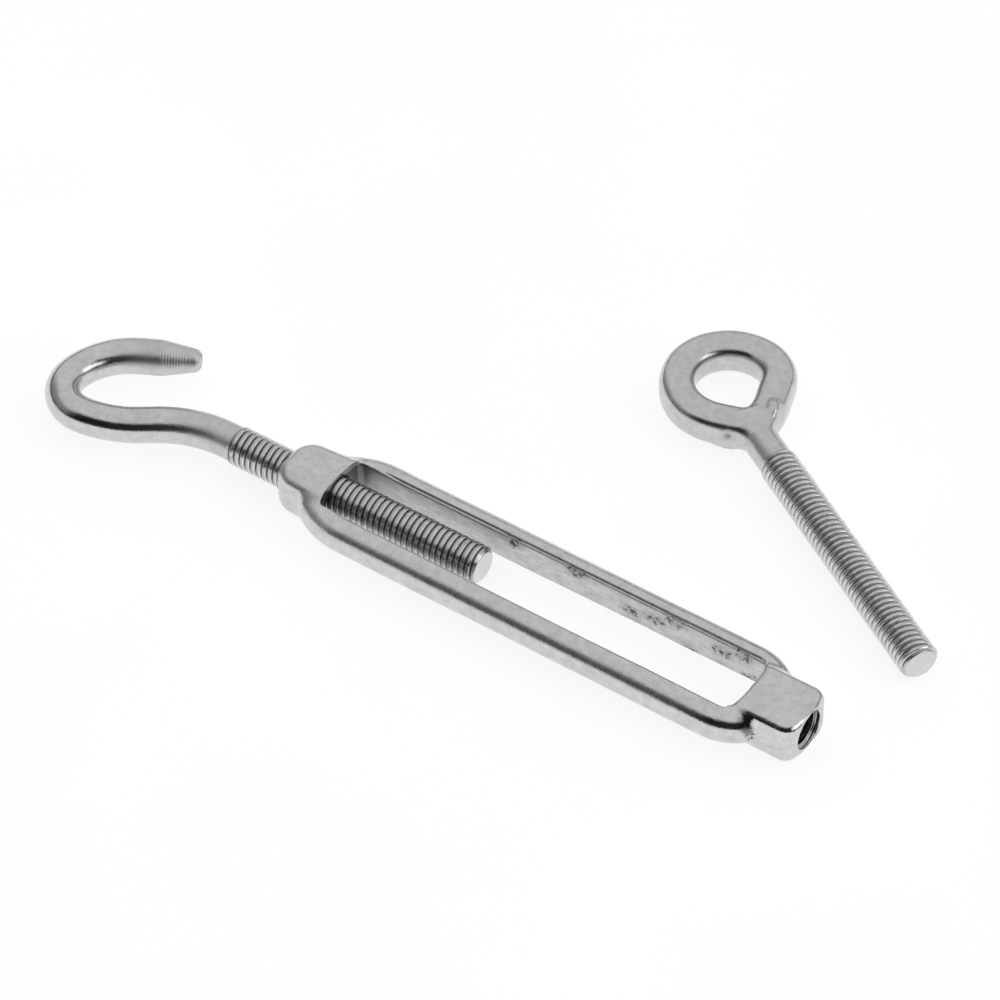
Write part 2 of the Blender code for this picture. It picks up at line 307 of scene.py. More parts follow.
def cells_round_edges(crossed, inside, axis):
    """The four cells round each edge of the grid along axis whose ends differ, in turning order."""
    near = [slice(None)] * 3
    far = [slice(None)] * 3
    near[axis], far[axis] = slice(None, -1), slice(1, None)
    near, far = inside[tuple(near)], inside[tuple(far)]
    changed = np.argwhere(near != far)
    flipped = far[tuple(changed.T)]
    first, second = [a for a in range(3) if a != axis]
    rounds = []
    for a, b in ((0, 0), (1, 0), (1, 1), (0, 1)):
        cell = changed.copy()
        cell[:, first] -= a
        cell[:, second] -= b
        rounds.append(crossed[tuple(cell.T)])
    quads = np.stack(rounds, -1)
    quads[flipped] = quads[flipped][:, ::-1]
    return quads


def surface_of(field, low, high, step, rounds=4):
    """Corners and faces of the surface where the field is zero, spread evenly and moved onto it."""
    axes = [np.arange(a, b + step, step) for a, b in zip(low, high)]
    grid = np.stack(np.meshgrid(*axes, indexing="ij"), -1)
    inside = field(grid.reshape(-1, 3)).reshape(grid.shape[:3]) < 0
    shape = [n - 1 for n in inside.shape]
    count = np.zeros(shape, int)
    for corner in itertools.product((0, 1), repeat=3):
        count += inside[tuple(slice(c, c + n) for c, n in zip(corner, shape))]
    mixed = (count > 0) & (count < 8)
    number = np.full(mixed.shape, -1)
    number[mixed] = np.arange(mixed.sum())
    points = grid[:-1, :-1, :-1][mixed] + step / 2
    faces = np.concatenate([cells_round_edges(number, inside, axis) for axis in range(3)])
    ends = np.concatenate([faces, np.roll(faces, 1, axis=1)]).reshape(-1)
    others = np.concatenate([np.roll(faces, 1, axis=1), faces]).reshape(-1)
    share = np.bincount(ends, minlength=len(points))[:, None]
    for turn in range(rounds + 3):
        if turn < rounds:
            sums = [np.bincount(ends, points[others, k], len(points)) for k in range(3)]
            points = (1 - EVENING) * points + EVENING * np.stack(sums, -1) / share
        points = onto_surface(field, points, step)
    return points, faces


# Turnbuckle body


def shoulder_distance(x, y, start, direction, radius):
    """Distance to a rail's outer side, which an arc draws in beyond start."""
    beyond = np.maximum(direction * (x - start), 0.0)
    return np.hypot(beyond, np.abs(y) + radius - HALF_WIDTH) - radius


def rails(x, y, z):
    hook_side = shoulder_distance(x, y, HOOK_SHOULDER_START, -1, HOOK_SHOULDER_RADIUS)
    eye_side = shoulder_distance(x, y, EYE_SHOULDER_START, 1, EYE_SHOULDER_RADIUS)
    plan = np.maximum(hook_side, eye_side)
    block = round_max(plan, np.abs(z) - RAIL_HALF_HEIGHT, RAIL_ROUNDING)
    return np.maximum(block, np.maximum(SHOULDER_ENDS[0] - x, x - SHOULDER_ENDS[1]))


def eye_boss(x, y, z):
    dome = np.hypot(x - EYE_BOSS_END + EYE_BOSS_DOME, y) - EYE_BOSS_DOME
    plan = round_max(np.abs(y) - EYE_BOSS_HALF_WIDTH, dome, EYE_BOSS_CORNER)
    plan = np.maximum(plan, WINDOW_END - BOSS_INSET - x)
    return round_max(plan, np.abs(z) - BOSS_HALF_HEIGHT, EYE_BOSS_ROUNDING)


def hook_boss(x, y, z):
    start = WINDOW_START + BOSS_INSET
    share = (start - x) / (start - HOOK_BOSS_END - HOOK_BOSS_CORNER)
    width = HOOK_BOSS_HALF_WIDTH + (HOOK_BOSS_NOSE_HALF_WIDTH - HOOK_BOSS_HALF_WIDTH) * share
    plan = round_max(np.abs(y) - width, HOOK_BOSS_END - x, HOOK_BOSS_CORNER)
    plan = np.maximum(plan, x - start)
    return round_max(plan, np.abs(z) - BOSS_HALF_HEIGHT, HOOK_BOSS_ROUNDING)


def window(x, y, widening=0.0):
    """Distance to the opening between the rails, in plan."""
    middle = (WINDOW_START + WINDOW_END) / 2
    arch = WINDOW_ARCH * np.maximum(1.0 - (y / WINDOW_HALF_WIDTH) ** 2, 0.0)
    across = np.abs(y) - WINDOW_HALF_WIDTH - widening
    along = np.abs(x - middle) - (WINDOW_END - WINDOW_START) / 2 - arch
    return round_max(across, along, np.where(x < 0.0, HOOK_WINDOW_CORNER, EYE_WINDOW_CORNER))


def ledge_growth(x):
    return smooth_step(x, *(WINDOW_START + distance for distance in LEDGE_GROWS))


def body_field(points):
    x, y, z = points.T
    solid = round_min(rails(x, y, z), eye_boss(x, y, z), BOSS_FILLET)
    solid = round_min(solid, hook_boss(x, y, z), BOSS_FILLET)
    at_eye_end = smooth_step(x, WINDOW_END - RIM_CHANGE[0], WINDOW_END + RIM_CHANGE[1])
    rim = WINDOW_RIM + (EYE_END_RIM - WINDOW_RIM) * at_eye_end
    solid = round_max(solid, -window(x, y), rim)
    depth = LEDGE_DEPTH * ledge_growth(x)
    ledge = np.maximum(window(x, y, LEDGE_WIDTH), RAIL_HALF_HEIGHT - depth - np.abs(z))
    ledge = np.maximum(ledge, x - WINDOW_END + LEDGE_END_GAP)
    solid = round_max(solid, -ledge, LEDGE_ROUNDING)
    mouth = np.maximum(x - EYE_BOSS_END + MOUTH_CHAMFER, HOOK_BOSS_END + MOUTH_CHAMFER - x)
    bore = np.hypot(y, z) - BORE_RADIUS - np.maximum(mouth, 0.0)
    solid = round_max(solid, -bore, BORE_ROUNDING)
    broad = CAST_WAVES[0] * waviness(points, CAST_WAVES[1], 11)
    return solid + broad + CAST_RIPPLES[0] * waviness(points, CAST_RIPPLES[1], 12)


def body_piece(name, origin):
    margin = BODY_GRID_MARGIN
    low = (HOOK_BOSS_END - margin, -HALF_WIDTH - margin, -BOSS_HALF_HEIGHT - margin)
    high = (EYE_BOSS_END + margin, HALF_WIDTH + margin, BOSS_HALF_HEIGHT + margin)
    points, faces = surface_of(body_field, low, high, BODY_MESH_STEP)
    x, y, z = points.T
    inside = (x > WINDOW_START - INNER_REACH) & (x < WINDOW_END + INNER_REACH)
    inner = inside & (np.abs(y) < WINDOW_HALF_WIDTH + INNER_DEPTH) & (np.abs(z) < RAIL_HALF_HEIGHT)
    corner = np.hypot(np.abs(y) - WINDOW_HALF_WIDTH - LEDGE_WIDTH, np.abs(z) - RAIL_HALF_HEIGHT + LEDGE_DEPTH)
    crease = inside * (1.0 - smooth_step(corner, *CREASE_FADES)) * ledge_growth(x)
    shade = inner * np.exp(-np.maximum(x - WINDOW_START, 0.0) / END_SHADE_LENGTH)
    scale = np.zeros(len(x))
    for patch in SCALE_PATCHES:
        gap = np.sqrt((((points - np.array(patch)) / SCALE_SIZE) ** 2).sum(1))
        scale = np.maximum(scale, 1.0 - smooth_step(gap, *SCALE_FADES))
    junction = np.sqrt((((points - np.array(JUNCTION)) / JUNCTION_SIZE) ** 2).sum(1))
    # Painted shade: darker in the ledge's corner, at the window's hook end and in the crease at the eye end's
    # boss
    painted_shade = np.maximum(np.maximum(crease, shade), 1.0 - smooth_step(junction, *JUNCTION_FADES))
    polish = smooth_step(x, POLISHED_FROM, POLISHED_TO)
    kept = {"inner": inner, "painted_shade": painted_shade, "scale": scale, "polish": polish}
    return add_object(name, place(points, origin), faces, kept)


# Bars and threads


def helical_faces(rows, columns, rows_per_turn):
    """Faces between rows of corners, where each row's end meets the start of the row one turn on."""
    row, column = np.meshgrid(np.arange(rows - 1), np.arange(columns), indexing="ij")
    last = column == columns - 1
    beside_row = np.where(last, row + rows_per_turn, row)
    beside_column = np.where(last, 0, column + 1)
    quads = np.stack(
        [
            row * columns + column,
            beside_row * columns + beside_column,
            (beside_row + 1) * columns + beside_column,
            (row + 1) * columns + column,
        ],
        -1,
    ).reshape(-1, 4)
    return quads[quads.max(1) < rows * columns]


def climbing_grid(stations, profile, hand):
    """Where each corner lies along a bar, its angle round it and how far out of the thread's root it is."""
    row = np.arange(len(stations) - ROWS)[:, None]
    column = np.arange(COLUMNS)[None, :]
    place_along = np.interp(row + ROWS * column / COLUMNS, np.arange(len(stations)), stations)
    angle = np.broadcast_to(hand * 2 * math.pi * column / COLUMNS, place_along.shape)
    height = np.broadcast_to(np.take(profile, row % ROWS), place_along.shape)
    return place_along, angle, height


def spaced(start, end, step):
    return list(np.linspace(start, end, max(2, round((end - start) / step) + 1))[:-1])


def smooth_step(value, low, high):
    share = np.clip((value - low) / (high - low), 0.0, 1.0)
    return share * share * (3 - 2 * share)


def bareness(s):
    """0 on the thread and 1 on the bare bar after it."""
    return smooth_step(s, THREAD_LENGTH - THREAD_END_SOFTNESS, THREAD_LENGTH + THREAD_END_SOFTNESS)


def bar_piece(name, length, centre_line, bare_radius, dullness, marked, profile, hand, origin, heading):
    """A bar with its thread's flat tip at 0 along it, run out into the bare bar, and closed at both ends.

    centre_line gives the place and the sideways direction at each distance along the bar, bare_radius its
    radius there, and dullness how dull its skin is. Tool marks cross the last marked millimetres.
    """
    cap = ROOT_RADIUS + 0.3
    turn = PITCH / ROWS
    threaded = THREAD_LENGTH + RUN_OUT + 1.0
    stations = list(np.arange(-math.ceil(cap + PITCH), threaded, turn))
    stations += spaced(stations[-1] + turn, length, BAR_STEP)
    stations += list(length + np.arange(0.0, cap + 0.8 + PITCH * 1.2, turn))
    along, angle, height = climbing_grid(np.array(stations), profile, hand)
    s = np.clip(along, 0.0, length)
    depth = 1.0 - smooth_step(s, THREAD_LENGTH - RUN_OUT / 2, THREAD_LENGTH + RUN_OUT / 2)
    thread = ROOT_RADIUS + (CREST_RADIUS - ROOT_RADIUS) * height
    radius = bare_radius(s) + depth * (thread - bare_radius(s))
    chamfer = CREST_RADIUS - TIP_CHAMFER + s
    radius = np.minimum(radius, chamfer)
    over = np.maximum(np.maximum(-along, along - length), 0.0)
    radius = np.maximum(radius - over, 0.0)
    middle, side = centre_line(s)
    up = np.array((0.0, 0.0, 1.0))
    outward = np.cos(angle)[..., None] * side + np.sin(angle)[..., None] * up
    broad = waviness(middle.reshape(-1, 3), BAR_BUMP_SIZE, 5).reshape(s.shape)
    bent = BAR_ROUGHNESS * (1.0 - depth) * broad
    crest = (middle + CREST_RADIUS * outward).reshape(-1, 3)
    rough = THREAD_ROUGHNESS * depth * waviness(crest, THREAD_BUMP_SIZE, 6).reshape(s.shape)
    points = middle + (radius * (1.0 + bent + rough))[..., None] * outward
    faces = helical_faces(len(stations) - ROWS, COLUMNS, ROWS)
    groove = (depth * (1.0 - height) * (along > TIP_FACE)).reshape(-1)
    placed = place(points.reshape(-1, 3), origin, heading)
    left = length - s
    marks = smooth_step(left, *MARKS_END) * (1.0 - smooth_step(left, marked - MARKS_FADE, marked))
    # Painted highlight along the crests' rising edge, partly wear; the flat tip is a cut face and lighter
    wear_and_highlight = np.take(PROFILE_WEAR_AND_HIGHLIGHT, np.arange(len(along)) % ROWS)[:, None] * depth
    wear_and_highlight = np.where(along > 0.0, wear_and_highlight, CUT_END_WEAR)
    kept = {
        "along": s.reshape(-1),
        "marks": marks.reshape(-1),
        "wear_and_highlight": wear_and_highlight.reshape(-1),
        "groove": groove,
        "threaded": (depth * (along > TIP_FACE)).reshape(-1),
        "dull": dullness(s).reshape(-1),
    }
    return add_object(name, placed, faces, kept)


def hook_line():
    """The hook bolt's centre line from its thread's tip at 0, as distances, places and sideways directions.

    The bar runs towards -X. Its bends come from HOOK_BENDS, with the changes between them smoothed.
    """
    step = 0.05
    turns = [(THREAD_LENGTH + SHANK_LENGTH, 0.0)] + list(HOOK_BENDS)
    rates = np.concatenate([np.full(round(length / step), turn / length) for length, turn in turns])
    window_size = round(BEND_BLENDING / step)
    rates = np.convolve(np.pad(rates, window_size, mode="edge"), np.ones(window_size) / window_size, "same")
    rates = np.radians(rates[window_size:-window_size])
    heading = math.pi + np.concatenate([[0.0], np.cumsum(rates)]) * step
    middle = (heading[1:] + heading[:-1]) / 2
    moves = np.stack([np.cos(middle), np.sin(middle), np.zeros_like(middle)], -1) * step
    places = np.concatenate([np.zeros((1, 3)), np.cumsum(moves, axis=0)])
    sides = np.stack([-np.sin(heading), np.cos(heading), np.zeros_like(heading)], -1)
    return np.arange(len(places)) * step, places, sides


def along_line(distances, places, sides):
    """A function that gives the place and the sideways direction at any distance along a line."""

    def at(s):
        place_at = np.stack([np.interp(s, distances, places[:, k]) for k in range(3)], -1)
        side_at = np.stack([np.interp(s, distances, sides[:, k]) for k in range(3)], -1)
        return place_at, side_at / np.linalg.norm(side_at, axis=-1, keepdims=True)

    return at


def hook_bolt_piece(name, tip):
    distances, places, sides = hook_line()
    length = distances[-1]

    def narrowing(s):
        left = length - s
        tapered = HOOK_POINT_RADIUS + (BAR_RADIUS - HOOK_POINT_RADIUS) * np.minimum(left / HOOK_TAPER, 1.0)
        corner = np.maximum(HOOK_POINT_ROUNDING - left, 0.0)
        return tapered - HOOK_POINT_ROUNDING + np.sqrt(HOOK_POINT_ROUNDING**2 - corner**2)

    def dullness(s):
        bare = bareness(s)
        thread = HOOK_THREAD_DULLNESS * (1.0 - bare)
        return thread + bare - smooth_step(s, *HOOK_BRIGHTENS) + smooth_step(s, *HOOK_DULLS)

    line = along_line(distances, places, sides)
    return bar_piece(name, length, line, narrowing, dullness, HOOK_MARKED, FLAT_PROFILE, 1, tip, 0.0)


def eye_bar_piece(name, origin):
    line = along_line(
        np.array((0.0, EYE_SHANK_END)),
        np.array(((0.0, 0.0, 0.0), (EYE_SHANK_END, 0.0, 0.0))),
        np.array(((0.0, 1.0, 0.0), (0.0, 1.0, 0.0))),
    )

    def shank(s):
        return np.full_like(s, EYE_SHANK_RADIUS)

    def dullness(s):
        bare = bareness(s)
        return EYE_THREAD_DULLNESS + (SHANK_DULLNESS - EYE_THREAD_DULLNESS) * bare

    return bar_piece(name, EYE_SHANK_END, line, shank, dullness, 0.0, ROUND_PROFILE, -1, origin, EYE_HEADING)


def nut_thread_piece(name, start, end, tip, profile, hand, origin):
    """The thread in one boss's bore, as a closed sleeve round the axis, which is +X.

    tip is where a row of crests starts, given so that the bolt's thread and this one fit one another.
    """
    wall = SLEEVE_RADIUS - ROOT_RADIUS
    turn = PITCH / ROWS
    first = math.floor((start - tip - wall - PITCH) / PITCH) * PITCH
    stations = np.arange(first, end - tip + wall + PITCH * 2.2, turn)
    along, angle, height = climbing_grid(stations, profile, hand)
    along = along + tip
    x = np.clip(along, start, end)
    inner = ROOT_RADIUS + NUT_CLEARANCE + (CREST_RADIUS - ROOT_RADIUS) * height
    inward = np.minimum(x - start, end - x)
    mouth = np.where(inward < SLEEVE_CHAMFER, BORE_RADIUS - inward, 0.0)
    over = np.maximum(np.maximum(start - along, along - end), 0.0)
    radius = np.minimum(np.maximum(inner, mouth) + over, SLEEVE_RADIUS)
    points = np.stack([x, radius * np.cos(angle), radius * np.sin(angle)], -1)
    faces = helical_faces(len(stations) - ROWS, COLUMNS, ROWS)
    round_y, round_z = SLEEVE_RADIUS * np.cos(angle[0]), SLEEVE_RADIUS * np.sin(angle[0])
    rings = [np.stack([np.full(COLUMNS, x_end), round_y, round_z], -1) for x_end in (start, end)]
    corners = np.concatenate([points.reshape(-1, 3), *rings])
    first_ring = points.shape[0] * COLUMNS
    column = np.arange(COLUMNS)
    beside = (column + 1) % COLUMNS
    outside = np.stack(
        [
            first_ring + column,
            first_ring + beside,
            first_ring + COLUMNS + beside,
            first_ring + COLUMNS + column,
        ],
        -1,
    )
    # Painted shade: past the mouth's chamfer the bore grows darker, carried by the groove, threaded and shade
    # values
    deep = smooth_step(inward, SLEEVE_CHAMFER, SLEEVE_CHAMFER + SLEEVE_SHADE_GROWS)
    groove = np.concatenate([(deep * height).reshape(-1), np.ones(2 * COLUMNS)])
    shade = np.concatenate([deep.reshape(-1), np.ones(2 * COLUMNS)])
    return add_object(
        name,
        place(corners, origin),
        np.concatenate([faces, outside]),
        {"groove": groove, "threaded": shade, "shade": shade},
    )


# Eye


def bump(angle, height, centre, width):
    away = (angle - centre + 180.0) % 360.0 - 180.0
    return height * np.exp(-((away / width) ** 2))


def ring_radius(angle):
    return RING_RADIUS - bump(angle, *RING_FLAT) + bump(angle, *RING_NECK)


def ring(x, y, z):
    """Distance to the eye's bar, whose centre line is a circle pressed in a little beside the neck."""
    u, v = x - RING_CENTRE[0], y - RING_CENTRE[1]
    angle = np.degrees(np.arctan2(v, u))
    slope = (ring_radius(angle + 1.0) - ring_radius(angle - 1.0)) / math.radians(2.0) / RING_RADIUS
    out = (np.hypot(u, v) - ring_radius(angle)) / np.sqrt(1.0 + slope**2)
    power = RING_SECTION_POWER
    return (np.abs(out) ** power + np.abs(z) ** power) ** (1.0 / power) - RING_BAR_RADIUS


def weld_bead(x, y, z, centre, size, turn):
    turn = math.radians(turn)
    u, v = x - centre[0], y - centre[1]
    along = u * math.cos(turn) + v * math.sin(turn)
    across = v * math.cos(turn) - u * math.sin(turn)
    scaled = np.sqrt((along / size[0]) ** 2 + (across / size[1]) ** 2 + ((z - centre[2]) / size[2]) ** 2)
    return (scaled - 1.0) * min(size)


def eye_field(points):
    x, y, z = points.T
    stub_radius = EYE_SHANK_RADIUS - STUB_INSET - STUB_THINNING * smooth_step(x, STUB_THINS_FROM, STUB_END)
    stub = np.maximum(np.hypot(y, z) - stub_radius, np.maximum(STUB_START - x, x - STUB_END))
    solid = round_min(ring(x, y, z), stub, NECK_FILLET)
    near_weld = np.zeros(len(points))
    for bead in WELD_BEADS:
        solid = round_min(solid, weld_bead(x, y, z, *bead), BEAD_FILLET)
        gap = np.linalg.norm(points - np.array(bead[0]), axis=1)
        near_weld = np.maximum(near_weld, 1.0 - smooth_step(gap, *WELD_LUMPS_FADE))
    broad = EYE_WAVES[0] * waviness(points, EYE_WAVES[1], 21)
    return solid + (broad + near_weld * WELD_WAVES[0] * waviness(points, WELD_WAVES[1], 22))


def eye_piece(name, origin):
    reach = RING_RADIUS + RING_BAR_RADIUS + EYE_GRID_MARGIN
    low = (STUB_START - 0.5, RING_CENTRE[1] - reach, -RING_BAR_RADIUS - EYE_GRID_MARGIN)
    high = (RING_CENTRE[0] + reach, RING_CENTRE[1] + reach, RING_BAR_RADIUS + EYE_GRID_MARGIN)
    points, faces = surface_of(eye_field, low, high, EYE_MESH_STEP)
    gaps = [np.linalg.norm(points - np.array(bead[0]), axis=1) for bead in WELD_BEADS]
    weld = np.max([1.0 - smooth_step(gap, *WELD_SKIN_FADES) for gap in gaps], axis=0)
    kept = {"weld": weld, "dull": np.full(len(points), EYE_DULLNESS)}
    return add_object(name, place(points, origin, EYE_HEADING), faces, kept)


# Materials


class Nodes:
    """Short ways to build the nodes of a material or of the world."""

    def __init__(self, tree):
        self.tree = tree
        self.shader = tree.nodes.get("Principled BSDF")

    def add(self, kind, inputs=None, **settings):
        node = self.tree.nodes.new(kind)
        for key, value in settings.items():
            setattr(node, key, value)
        for key, value in (inputs or {}).items():
            if isinstance(value, bpy.types.NodeSocket):
                self.tree.links.new(value, node.inputs[key])
            else:
                node.inputs[key].default_value = value
        return node

    def position(self):
        """Object coordinates in millimetres."""
        source = self.add("ShaderNodeTexCoord").outputs["Object"]
        scaled = self.add("ShaderNodeVectorMath", {0: source, 1: (1000.0,) * 3}, operation="MULTIPLY")
        return scaled.outputs["Vector"]

    def stretched(self, where, scale):
        return self.add("ShaderNodeVectorMath", {0: where, 1: scale}, operation="MULTIPLY").outputs["Vector"]

    def noise(self, where, size, detail=3.0, roughness=0.55):
        inputs = {"Vector": where, "Scale": 1.0 / size, "Detail": detail, "Roughness": roughness}
        return self.add("ShaderNodeTexNoise", inputs).outputs["Fac"]

    def between(self, value, low, high, out_low, out_high):
        inputs = {0: value, 1: low, 2: high, 3: out_low, 4: out_high}
        return self.add("ShaderNodeMapRange", inputs).outputs[0]

    def ramp(self, value, low, high, out_low, out_high):
        inputs = {0: value, 1: low, 2: high, 3: out_low, 4: out_high}
        return self.add("ShaderNodeMapRange", inputs, interpolation_type="SMOOTHSTEP").outputs[0]

    def math(self, operation, a, b):
        return self.add("ShaderNodeMath", {0: a, 1: b}, operation=operation).outputs[0]

    def attribute(self, name):
        return self.add("ShaderNodeAttribute", attribute_name=name).outputs["Fac"]

    def grey(self, value):
        return self.add("ShaderNodeCombineColor", {0: value, 1: value, 2: value}).outputs[0]

    def bump(self, height, distance, strength=1.0, under=None):
        inputs = {"Height": height, "Distance": distance * MM, "Strength": strength}
        if under is not None:
            inputs["Normal"] = under
        return self.add("ShaderNodeBump", inputs).outputs["Normal"]

    def connect(self, socket, name):
        self.tree.links.new(socket, self.shader.inputs[name])


def new_material(name):
    material = bpy.data.materials.new(name)
    material.use_nodes = True
    return material, Nodes(material.node_tree)


def cast_metal(name):
    """Polished cast steel: a fine uneven skin, painted shade in its creases and at the window's hook end, and
    rough patches of scale.
    """
    material, n = new_material(name)
    where = n.position()
    broad = n.noise(where, 7.0, 2.0)
    mottle = n.noise(where, 1.3, 3.0, 0.6)
    grain = n.noise(where, 0.28, 4.0, 0.7)
    inner = n.attribute("inner")
    painted_shade = n.attribute("painted_shade")
    blotch = n.noise(where, 0.75, 3.0, 0.7)
    scale = n.math("MULTIPLY", n.attribute("scale"), n.between(mottle, 0.35, 0.5, 0.4, 1.0))
    speckle = n.between(n.math("ADD", blotch, n.math("MULTIPLY", scale, 0.16)), 0.63, 0.7, 0.0, 1.0)
    speckle = n.math("MULTIPLY", speckle, n.between(scale, 0.1, 0.5, 0.0, 1.0))
    tone = n.between(broad, 0.3, 0.7, 0.59, 0.63)
    tone = n.math("ADD", tone, n.between(grain, 0.3, 0.7, -0.045, 0.045))
    tone = n.math("ADD", tone, n.between(mottle, 0.35, 0.65, -0.05, 0.05))
    streaks = n.noise(n.stretched(where, (0.25, 1.0, 1.6)), 0.7, 3.0, 0.65)
    tone = n.math("ADD", tone, n.math("MULTIPLY", inner, n.between(streaks, 0.3, 0.7, -0.1, 0.1)))
    tone = n.math("SUBTRACT", tone, n.math("MULTIPLY", speckle, 0.45))
    # Painted shade darkens the creases and the window's hook end
    tone = n.math("MULTIPLY", tone, n.between(painted_shade, 0.0, 1.0, 1.0, 0.35))
    tone = n.math("MULTIPLY", tone, n.between(inner, 0.0, 1.0, 1.0, 0.92))
    n.connect(n.grey(tone), "Base Color")
    gloss = n.between(grain, 0.3, 0.7, 0.22, 0.3)
    gloss = n.math("SUBTRACT", gloss, n.math("MULTIPLY", n.attribute("polish"), 0.13))
    gloss = n.math("ADD", gloss, n.math("MULTIPLY", inner, 0.14))
    gloss = n.math("ADD", gloss, n.math("MULTIPLY", scale, 0.12))
    n.connect(gloss, "Roughness")
    soft = n.bump(mottle, 0.045, 0.6)
    fine = n.bump(grain, 0.025, 0.6, soft)
    n.connect(n.bump(n.math("MULTIPLY", grain, scale), 0.2, 1.0, fine), "Normal")
    n.shader.inputs["Metallic"].default_value = 1.0
    return material


def bolt_metal(name, tone_low, tone_high, thread_darkening, wear_and_highlight):
    """Bright drawn steel, with a thread that is dark down in its grooves, from dirt and painted shade, and
    lighter along one edge of its crests, from a painted highlight and wear.

    The last two arguments are how much darker the thread is, which deep in the bores is painted shade, and
    how much lighter the crests' edges and the cut tip are.
    """
    material, n = new_material(name)
    where = n.position()
    broad = n.noise(where, 5.0, 2.0)
    mottle = n.noise(where, 1.1, 3.0, 0.6)
    grain = n.noise(where, 0.26, 4.0, 0.7)
    groove = n.attribute("groove")
    threaded = n.attribute("threaded")
    # Thread roots darker: dirt and painted shade, and deep in the bores painted shade alone
    groove_dirt_and_shade = n.math("MULTIPLY", n.between(groove, 0.5, 1.0, 0.0, 1.0), n.between(broad, 0.3, 0.65, 0.3, 0.8))
    weld = n.attribute("weld")
    coarse_nicks = n.between(mottle, 0.6, 0.7, 0.0, 1.0)
    nicks = n.math("MAXIMUM", coarse_nicks, n.between(grain, 0.6, 0.7, 0.0, 1.0))
    nicks = n.math("MULTIPLY", nicks, n.math("MAXIMUM", threaded, n.math("MULTIPLY", weld, 0.4)))
    tone = n.between(broad, 0.3, 0.7, tone_low, tone_high)
    tone = n.math("ADD", tone, n.between(grain, 0.3, 0.7, -0.035, 0.035))
    tone = n.math("ADD", tone, n.between(mottle, 0.35, 0.65, -0.04, 0.04))
    # Darker in the thread's roots from dirt and painted shade, at nicks, over the thread, and with painted
    # shade deep in the bores
    for share, loss in ((groove_dirt_and_shade, 0.62), (nicks, 0.3), (threaded, thread_darkening), (n.attribute("shade"), 0.65)):
        tone = n.math("MULTIPLY", tone, n.math("SUBTRACT", 1.0, n.math("MULTIPLY", share, loss)))
    # Lighter along the crests' rising edge (painted highlight, partly wear) and on the cut tip
    bare = n.math("MULTIPLY", n.attribute("wear_and_highlight"), n.between(mottle, 0.35, 0.6, wear_and_highlight, wear_and_highlight / 3))
    tone = n.math("ADD", tone, bare)
    n.connect(n.grey(tone), "Base Color")
    gloss = n.between(grain, 0.3, 0.7, 0.12, 0.18)
    for share, more in ((groove_dirt_and_shade, 0.15), (n.attribute("dull"), 0.26), (weld, 0.04), (threaded, 0.05)):
        gloss = n.math("ADD", gloss, n.math("MULTIPLY", share, more))
    n.connect(gloss, "Roughness")
    soft = n.bump(mottle, 0.04, 0.6)
    fine = n.bump(grain, 0.02, 0.6, soft)
    ripple = n.math("SINE", n.math("MULTIPLY", n.attribute("along"), 2 * math.pi / MARK_SPACING), 0.0)
    n.connect(n.bump(n.math("MULTIPLY", ripple, n.attribute("marks")), 0.025, 1.0, fine), "Normal")
    n.shader.inputs["Metallic"].default_value = 1.0
    return material


def floor_material():
    """Matt white table top, lit a little from below so that shadows on it stay faint."""
    material, n = new_material("white_table")
    tone = n.between(n.noise(n.position(), 60.0, 2.0), 0.3, 0.7, 0.27, 0.29)
    n.connect(n.grey(tone), "Base Color")
    n.shader.inputs["Roughness"].default_value = 0.9
    n.shader.inputs["Specular IOR Level"].default_value = 0.1
    n.shader.inputs["Emission Color"].default_value = (1.0, 1.0, 1.0, 1.0)
    n.shader.inputs["Emission Strength"].default_value = 0.83
    return material


# Studio


def studio_light():
    """A white room lit from above.

    It has a dark place low in front, a dim one beside it on the left and a bright panel low on the right.
    """
    world = bpy.data.worlds.new("studio")
    bpy.context.scene.world = world
    world.use_nodes = True
    n = Nodes(world.node_tree)
    direction = n.add("ShaderNodeTexCoord").outputs["Generated"]
    height = n.add("ShaderNodeSeparateXYZ", {0: direction}).outputs["Z"]
    flat = n.add("ShaderNodeVectorMath", {0: direction, 1: (1.0, 1.0, 0.0)}, operation="MULTIPLY").outputs[0]
    level = n.add("ShaderNodeVectorMath", {0: flat}, operation="NORMALIZE").outputs[0]

    def towards(side):
        return n.add("ShaderNodeVectorMath", {0: level, 1: side}, operation="DOT_PRODUCT").outputs["Value"]

    def band(low, low_full, high_full, high):
        rise = n.ramp(height, low, low_full, 0.0, 1.0)
        return n.math("MULTIPLY", rise, n.ramp(height, high_full, high, 1.0, 0.0))

    def scaled(value, azimuth, zone):
        return n.math("MULTIPLY", n.math("MULTIPLY", azimuth, zone), value)

    ahead = towards(DARK_SIDE)
    light = n.ramp(height, 0.0, 0.12, 1.0, ROOM_LIGHT)
    dark = scaled(0.97, n.ramp(ahead, 0.26, 0.60, 0.0, 1.0), band(0.06, 0.12, 0.7, 0.86))
    left = towards(DIM_SIDE)
    dim = scaled(0.6, n.ramp(left, 0.3, 0.75, 0.0, 1.0), band(0.06, 0.12, 0.55, 0.75))
    skirting = n.math("MULTIPLY", band(0.05, 0.1, 0.2, 0.3), 0.78)
    light = n.math("MULTIPLY", light, n.math("SUBTRACT", 1.0, dark))
    light = n.math("MULTIPLY", light, n.math("SUBTRACT", 1.0, dim))
    light = n.math("MULTIPLY", light, n.math("SUBTRACT", 1.0, skirting))
    right = towards(RIGHT_PANEL_SIDE)
    panel = scaled(1.5, n.ramp(right, 0.88, 0.97, 0.0, 1.0), band(0.28, 0.36, 0.52, 0.64))
    light = n.math("ADD", light, panel)
    n.tree.links.new(n.grey(light), n.tree.nodes["Background"].inputs["Color"])


def add_floor():
    size = FLOOR_HALF_SIZE
    points = np.array([(-size, -size, 0.0), (size, -size, 0.0), (size, size, 0.0), (-size, size, 0.0)])
    floor = add_object("floor", points, [(0, 1, 2, 3)])
    floor.location.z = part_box("turnbuckle_body")[0].z
    floor.data.materials.append(floor_material())


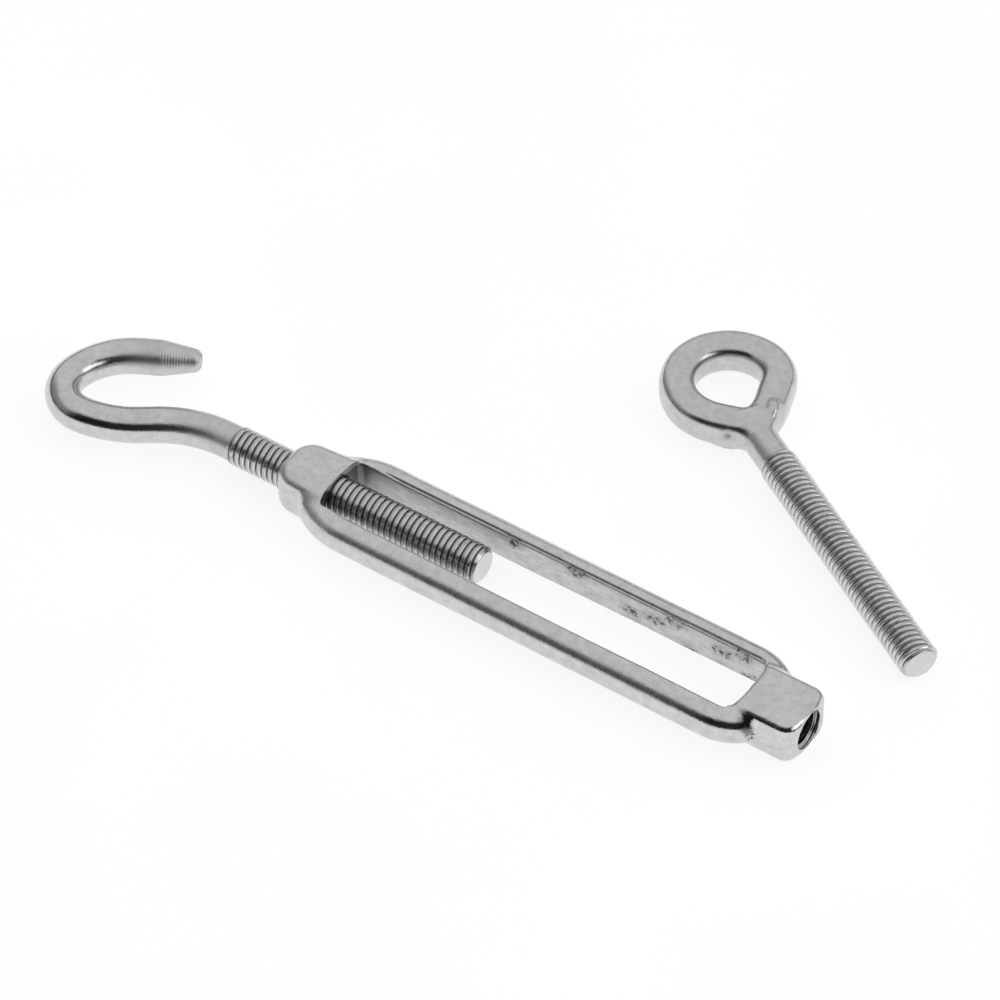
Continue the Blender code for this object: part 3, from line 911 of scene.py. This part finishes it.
def add_camera():
    data = bpy.data.cameras.new("camera")
    data.lens = CAMERA_LENS
    data.clip_start = 0.05
    data.clip_end = 20.0
    camera = bpy.data.objects.new("camera", data)
    bpy.context.scene.collection.objects.link(camera)
    camera.location = CAMERA_TARGET + CAMERA_DISTANCE * CAMERA_SIDE
    camera.rotation_euler = CAMERA_SIDE.to_track_quat("Z", "Y").to_euler()
    bpy.context.scene.camera = camera


def fit(piece, material, body, node=None):
    piece.data.materials.append(material)
    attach(piece, body)
    if node:
        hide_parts(node)


def main():
    low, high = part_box("turnbuckle_body")
    body_centre = Vector((BODY_CENTRE_X, (low.y + high.y) / 2 / MM, (low.z + high.z) / 2 / MM))
    hook_tip = Vector((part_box("hook_bolt")[1].x / MM, body_centre.y, body_centre.z))
    eye_origin = body_centre + EYE_TIP
    cast = cast_metal("cast_body_metal")
    hook_metal = bolt_metal("hook_bolt_metal", 0.57, 0.62, 0.18, 0.4)
    eye_metal = bolt_metal("eye_bolt_metal", 0.55, 0.6, 0.08, 0.36)

    body = body_piece("turnbuckle_body_casting", body_centre)
    fit(body, cast, "turnbuckle_body", "turnbuckle_body")

    # The hook bolt points the other way from its nut's grid, which puts its crests half a turn on
    crest_x = hook_tip.x - body_centre.x + PITCH / 2
    hook_nut = (HOOK_BOSS_END + SLEEVE_INSET, WINDOW_START - SLEEVE_INSET)
    nut = nut_thread_piece("hook_end_nut_thread", *hook_nut, crest_x, FLAT_PROFILE, 1, body_centre)
    fit(nut, hook_metal, "turnbuckle_body")
    eye_nut = (WINDOW_END + SLEEVE_INSET, EYE_BOSS_END - SLEEVE_INSET)
    nut = nut_thread_piece("eye_end_nut_thread", *eye_nut, 0.0, ROUND_PROFILE, -1, body_centre)
    fit(nut, hook_metal, "turnbuckle_body")

    hook = hook_bolt_piece("hook_bolt_bar", hook_tip)
    fit(hook, hook_metal, "hook_bolt", "hook_bolt")
    bar = eye_bar_piece("eye_bolt_bar", eye_origin)
    fit(bar, eye_metal, "eye_bolt", "eye_bolt")
    eye = eye_piece("eye_bolt_eye", eye_origin)
    fit(eye, eye_metal, "eye_bolt", "eye_bolt")

    add_floor()
    studio_light()
    add_camera()
    bpy.context.scene.view_settings.view_transform = "Standard"


main()
